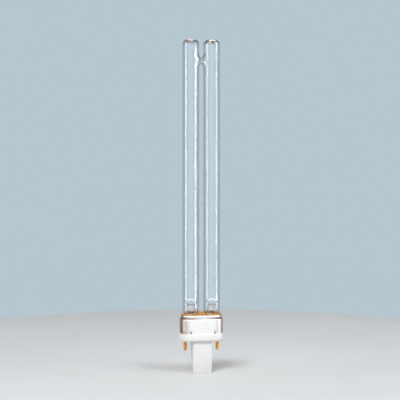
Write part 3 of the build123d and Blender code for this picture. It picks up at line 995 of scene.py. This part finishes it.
class LAMP_OT_cap(Operator):
    """Moulds the white cap: flange, spigot inside the collar and hollow square post"""

    bl_idname = "lamp.cap"
    bl_label = "Cap"

    # Floor above the seat, insets of spigot and bore from the collar's outline, and the holes' sizes
    floor = 2.8 * MM
    spigot = 0.5 * MM
    bore = 1.4 * MM
    pin_hole = 1.4 * MM
    post_bore = (11.0 * MM, 10.75 * MM)
    end_wall = 1.6 * MM
    cuts = (9, 9)

    def flange(self, base, seat):
        """The flange from its middle down to the seat, and up over the spigot to the cap's floor."""
        ledge = (cap_high.x - cap_low.x - collar_width) / 2
        r = base.flange_round
        top = seat + base.flange
        down = [(r * (1 - cos) - ledge, seat + r * (1 - sin)) for sin, cos in quarter(8)]
        start = down[0][1]
        soft = 0.3 * MM
        up = [(-ledge, start), (-ledge, top - soft)]
        up += [(soft * (1 - cos) - ledge, top - soft * (1 - sin)) for sin, cos in quarter(4)[1:]]
        up += [(self.spigot, top), (self.spigot, cap_high.z), (self.bore, cap_high.z)]
        up += [(self.bore, seat + self.floor)]
        width, depth, height = oval_rings(down)[0]
        piece = outline("cap_moulding", width, depth, base.corner + ledge, height, self.cuts)
        climb(oval_rings(down))
        pick_border(piece, near(start))
        climb(oval_rings(up))
        cap_border(piece, seat + self.floor)
        enter("OBJECT")
        return piece

    def post(self, base, seat):
        """The post's outside from the seat down to its closed end."""
        w, d = base.post_width, base.post_depth
        edge, corner = 0.5 * MM, 0.8 * MM
        piece = outline("post", w, d, corner, seat, self.cuts)
        taper = 2 * math.tan(base.draft) * (seat - edge)
        rings = [(w, d, seat), (w - taper, d - taper, edge)]
        w, d, _ = rings[-1]
        rings += [(w - k * edge, d - k * edge, z * edge) for k, z in ((0.25, 0.8), (1.6, 0.12), (2, 0))]
        climb(rings)
        cap_border(piece, 0)
        enter("OBJECT")
        return piece

    def chamber(self, seat):
        """The post's hollow, from above the cap's floor down to its end wall."""
        w, d = self.post_bore
        low, high = self.end_wall, seat + self.floor + MM
        corner = 0.2 * MM
        piece = outline("chamber", w, d, corner, low, self.cuts)
        climb([(w, d, low), (w, d, high)])
        close(piece, low, high)
        return piece

    def hollow(self, spot):
        """A ball cut off at the collar's foot, which makes room behind a stake."""
        radius, outside, clearance = 1.8 * MM, 0.85 * MM, 0.02 * MM
        y = math.copysign(collar_depth / 2 + outside, spot.y)
        ball = {"radius": radius, "location": (spot.x, y, spot.z)}
        piece = fresh("hollow", bpy.ops.mesh.primitive_uv_sphere_add, **ball)
        ledge = (0, 0, collar_low.z + clearance)
        bpy.ops.mesh.bisect(plane_co=ledge, plane_no=(0, 0, 1), use_fill=True, clear_inner=True)
        tidy()
        return piece

    def cutter(self, seat):
        """The post's hollow, holes for the pins' shanks and hollows behind the stakes."""
        parts = [self.chamber(seat)]
        hole = turned([(self.pin_hole, z) for z in (seat - MM, seat + self.floor + MM)])
        parts += [solid("hole", hole, 32, side * pin_axis) for _, side in SIDES]
        parts += [self.hollow(spot) for spot in stake_spots()]
        join(*parts)
        return parts[0]

    def execute(self, context):
        base = context.scene.lamp_base
        seat = collar_low.z - base.flange
        piece = self.flange(base, seat)
        join(piece, self.post(base, seat))
        enter("EDIT")
        join_loops(piece, near(seat))
        tidy()
        carve(piece, self.cutter(seat))
        settle(piece, "white_plastic", plastic_finish(base), "cap_body", limit=35)
        return {"FINISHED"}


class LAMP_OT_pins(Operator):
    """Turns the hollow brass pins and crimps them front and back"""

    bl_idname = "lamp.pins"
    bl_label = "Pins"

    radius = 1.15 * MM
    tip_round = 0.8 * MM
    bore = 0.3 * MM
    shank = 1.4 * MM
    head = 1.9 * MM
    head_height = 0.8 * MM
    rows = 28

    def profile(self, seat):
        """Radius and height: down the bore, round the tip and up the outside to the head."""
        r, tip, top = self.tip_round, pin_low.z, pin_high.z
        points = [(self.bore, top), (self.bore, tip + 0.1 * MM)]
        points += [(self.radius - r + r * sin, tip + r * (1 - cos)) for sin, cos in quarter(8)]
        run = (seat - tip - r) / self.rows
        points += [(self.radius, tip + r + run * k) for k in range(1, self.rows + 1)]
        under = top - self.head_height
        points += [(self.shank, seat), (self.shank, under), (self.head, under), (self.head, top)]
        return points

    def execute(self, context):
        base = context.scene.lamp_base
        seat = collar_low.z - base.flange
        finish = pin_finish(base)
        stroke, reach = 0.4 * MM, 0.8 * MM
        for name, side in SIDES:
            x = side * pin_axis
            piece = lathe(f"{name}_contact", turned(self.profile(seat)), 40, x)
            join_loops(piece)
            for face in (-1, 1):
                spot = Vector((x, face * self.radius, pin_low.z + base.crimp))
                push(piece, spot, reach, (0, -face * stroke, 0))
            tidy()
            settle(piece, "brass_pin", finish, f"{name}_pin")
        return {"FINISHED"}


class LAMP_OT_starter(Operator):
    """Dresses the glow switch, the capacitor and the splices inside the post"""

    bl_idname = "lamp.starter"
    bl_label = "Starter"

    tin = ((0.70, 0.70, 0.68), (0.55, 0.55, 0.54))
    resin = ((0.45, 0.10, 0.04), (0.54, 0.15, 0.06))

    def execute(self, context):
        glass = context.scene.lamp_glass
        wires = context.scene.lamp_electrodes
        dress(glass_finish("Starter glass", glass.stem_clear, glass.stem_edge, ior=1.52), "starter_bulb")
        tinned = plain_finish("Tinned wire", *self.tin, metallic=1.0, rough=0.25)
        dress(tinned, "starter_electrode", "capacitor_leads", "left_splice", "right_splice")
        dress(plain_finish("Bimetal", wires.tab, wires.lead, metallic=1.0, rough=0.3), "starter_bimetal")
        dress(plain_finish("Dipped resin", *self.resin, metallic=0.0, rough=0.2), "capacitor")
        return {"FINISHED"}


class LAMP_OT_stage(Operator):
    """Sets up the pale table, the backdrop, two soft lights, lights for reflections and the camera"""

    bl_idname = "lamp.stage"
    bl_label = "Stage"

    # Sines of the elevations between which the backdrop darkens to the ceiling
    darkening = (0.35, 0.7)

    # Sines of a strip's half width and fade, and cosines between which its ends fade in
    strip_half = 0.08
    strip_fade = 0.03
    strip_ends = (0.75, 0.85)

    # Front card and warm patch: directions, cosines between which they fade in, share of the light
    card_way = (-0.15, -0.99, 0)
    card_spread = (0.6, 0.9)
    card_share = 0.05
    warm_way = (0.04, 0.47, 0.88)
    warm_spread = (0.955, 0.975)

    def add_table(self, settings):
        """A round pale table top with a soft edge."""
        edge, foot = 4 * MM, -14 * MM
        radius = settings.table_radius
        profile = [(radius - edge * (1 - sin), -edge * (1 - cos)) for sin, cos in quarter(6)]
        table = solid("table", turned([*profile, (radius, foot)]), 192)
        made, tree, shader = material("Pale table", Roughness=0.9, Specular_IOR_Level=0.1)
        shade = [0.95 * c for c in settings.table]
        paint(tree, shader, effect(tree, "Mottle", Scale=7.0), settings.table, shade)
        cover(table, made)

    def add_light(self, name, place, size, watts):
        """A soft rectangular light that looks at the lamp's middle."""
        aim = Vector((0, 0, cad_box[1][2] / 2))
        bpy.ops.object.light_add(type="AREA", location=place)
        light = bpy.context.object
        light.name = name
        light.data.shape = "RECTANGLE"
        light.data.size, light.data.size_y = size
        light.data.energy = watts
        light.visible_camera = False
        light.visible_transmission = False
        light.rotation_euler = (aim - Vector(place)).to_track_quat("-Z", "Y").to_euler()

    def surround(self, tree, toward, shown, settings):
        """Dim even light, and in its place, where shown, the backdrop below a darker ceiling."""
        light = add_node(tree, "ShaderNodeBackground", {"Color": (0.92, 0.96, 1.0, 1), "Strength": 0.35})
        lift = dot(tree, toward, (0, 0, 1))
        sky = blend(tree, ramp(tree, lift, *self.darkening), settings.backdrop, settings.ceiling)
        seen = add_node(tree, "ShaderNodeBackground", {"Color": sky, "Strength": 1.0})
        both = {0: shown, 1: light.outputs[0], 2: seen.outputs[0]}
        return add_node(tree, "ShaderNodeMixShader", both).outputs[0]

    def strip(self, tree, toward, azimuth):
        """A mask of an upright strip of the surround at an azimuth."""
        aside = dot(tree, toward, (math.cos(azimuth), math.sin(azimuth), 0))
        ahead = dot(tree, toward, (math.sin(azimuth), -math.cos(azimuth), 0))
        off = calculate(tree, "ABSOLUTE", aside)
        across = ramp(tree, off, self.strip_half + self.strip_fade, self.strip_half)
        return times(tree, across, ramp(tree, ahead, *self.strip_ends))

    def glow(self, tree, toward, mirrored, settings):
        """White strips, a faint front card and a warm patch, seen only where mirrored."""
        strips = [self.strip(tree, toward, turn) for turn in (settings.left_strip, settings.right_strip)]
        ahead = ramp(tree, dot(tree, toward, self.card_way), *self.card_spread)
        warm = ramp(tree, dot(tree, toward, self.warm_way), *self.warm_spread)
        lit = largest(tree, *strips, times(tree, ahead, self.card_share), warm)
        tint = blend(tree, warm, (1, 1, 1), settings.gleam)
        strength = times(tree, lit, mirrored, settings.strip_light)
        return add_node(tree, "ShaderNodeBackground", {"Color": tint, "Strength": strength}).outputs[0]

    def add_world(self, settings):
        """A dim surround that is seen as the backdrop, with lights that only reflections show."""
        world = bpy.data.worlds.new("Backdrop")
        bpy.context.scene.world = world
        world.use_nodes = True
        tree = world.node_tree
        tree.nodes.clear()
        toward = add_node(tree, "ShaderNodeTexCoord").outputs["Generated"]
        rays = add_node(tree, "ShaderNodeLightPath").outputs
        kinds = ("Is Camera Ray", "Is Glossy Ray", "Is Transmission Ray")
        shown = largest(tree, *(rays[kind] for kind in kinds))
        mirrored = times(tree, shown, ramp(tree, rays["Glossy Depth"], 0, 1))
        surround = self.surround(tree, toward, shown, settings)
        both = {0: surround, 1: self.glow(tree, toward, mirrored, settings)}
        total = add_node(tree, "ShaderNodeAddShader", both).outputs[0]
        add_node(tree, "ShaderNodeOutputWorld", {"Surface": total})

    def add_camera(self, settings):
        """The camera, level with the lamp's middle and a little to its left."""
        turn, lift = settings.azimuth, settings.elevation
        back = Vector((math.sin(turn) * math.cos(lift), -math.cos(turn) * math.cos(lift), math.sin(lift)))
        side = Vector((math.cos(turn), math.sin(turn), 0))
        aim = Vector((0, 0, settings.aim_height)) + side * settings.aim_side
        bpy.ops.object.camera_add(location=aim + back * settings.distance)
        camera = bpy.context.object
        camera.name = "camera"
        camera.data.lens = settings.lens
        camera.data.clip_start = 0.01
        camera.rotation_euler = (-back).to_track_quat("-Z", "Y").to_euler()
        bpy.context.scene.camera = camera

    def execute(self, context):
        settings = context.scene.lamp_stage
        context.scene.view_settings.view_transform = "Standard"
        self.add_table(settings)
        self.add_world(settings)
        self.add_light("key", place=(-0.4, -0.6, 0.75), size=(0.5, 0.4), watts=7.6)
        self.add_light("fill", place=(0.55, -0.5, 0.7), size=(0.4, 0.4), watts=4.0)
        self.add_camera(settings)
        return {"FINISHED"}


class LAMP_PT_build(Panel):
    """Lists the steps that build the lamp"""

    bl_idname = "LAMP_PT_build"
    bl_label = "Twin-tube lamp"
    bl_space_type = "VIEW_3D"
    bl_region_type = "UI"
    bl_category = "Lamp"

    def draw(self, context):
        for step in steps:
            self.layout.operator(step.bl_idname)


steps = (
    LAMP_OT_discharge_tube,
    LAMP_OT_stems,
    LAMP_OT_electrodes,
    LAMP_OT_collar,
    LAMP_OT_cement,
    LAMP_OT_cap,
    LAMP_OT_pins,
    LAMP_OT_starter,
    LAMP_OT_stage,
)
settings_groups = {
    "lamp_glass": LampGlassSettings,
    "lamp_electrodes": LampElectrodeSettings,
    "lamp_base": LampBaseSettings,
    "lamp_stage": LampStageSettings,
}


def register():
    """Adds the settings, the steps and the panel to Blender."""
    for name, group in settings_groups.items():
        bpy.utils.register_class(group)
        setattr(bpy.types.Scene, name, PointerProperty(type=group))
    for step in (*steps, LAMP_PT_build):
        bpy.utils.register_class(step)


def unregister():
    """Takes them out again, in the opposite order."""
    for step in (LAMP_PT_build, *reversed(steps)):
        bpy.utils.unregister_class(step)
    for name, group in reversed(settings_groups.items()):
        delattr(bpy.types.Scene, name)
        bpy.utils.unregister_class(group)


def main():
    """Builds the lamp and its stage."""
    register()
    bpy.ops.lamp.discharge_tube()
    bpy.ops.lamp.stems()
    bpy.ops.lamp.electrodes()
    bpy.ops.lamp.collar()
    bpy.ops.lamp.cement()
    bpy.ops.lamp.cap()
    bpy.ops.lamp.pins()
    bpy.ops.lamp.starter()
    bpy.ops.lamp.stage()


if __name__ == "__main__":
    main()
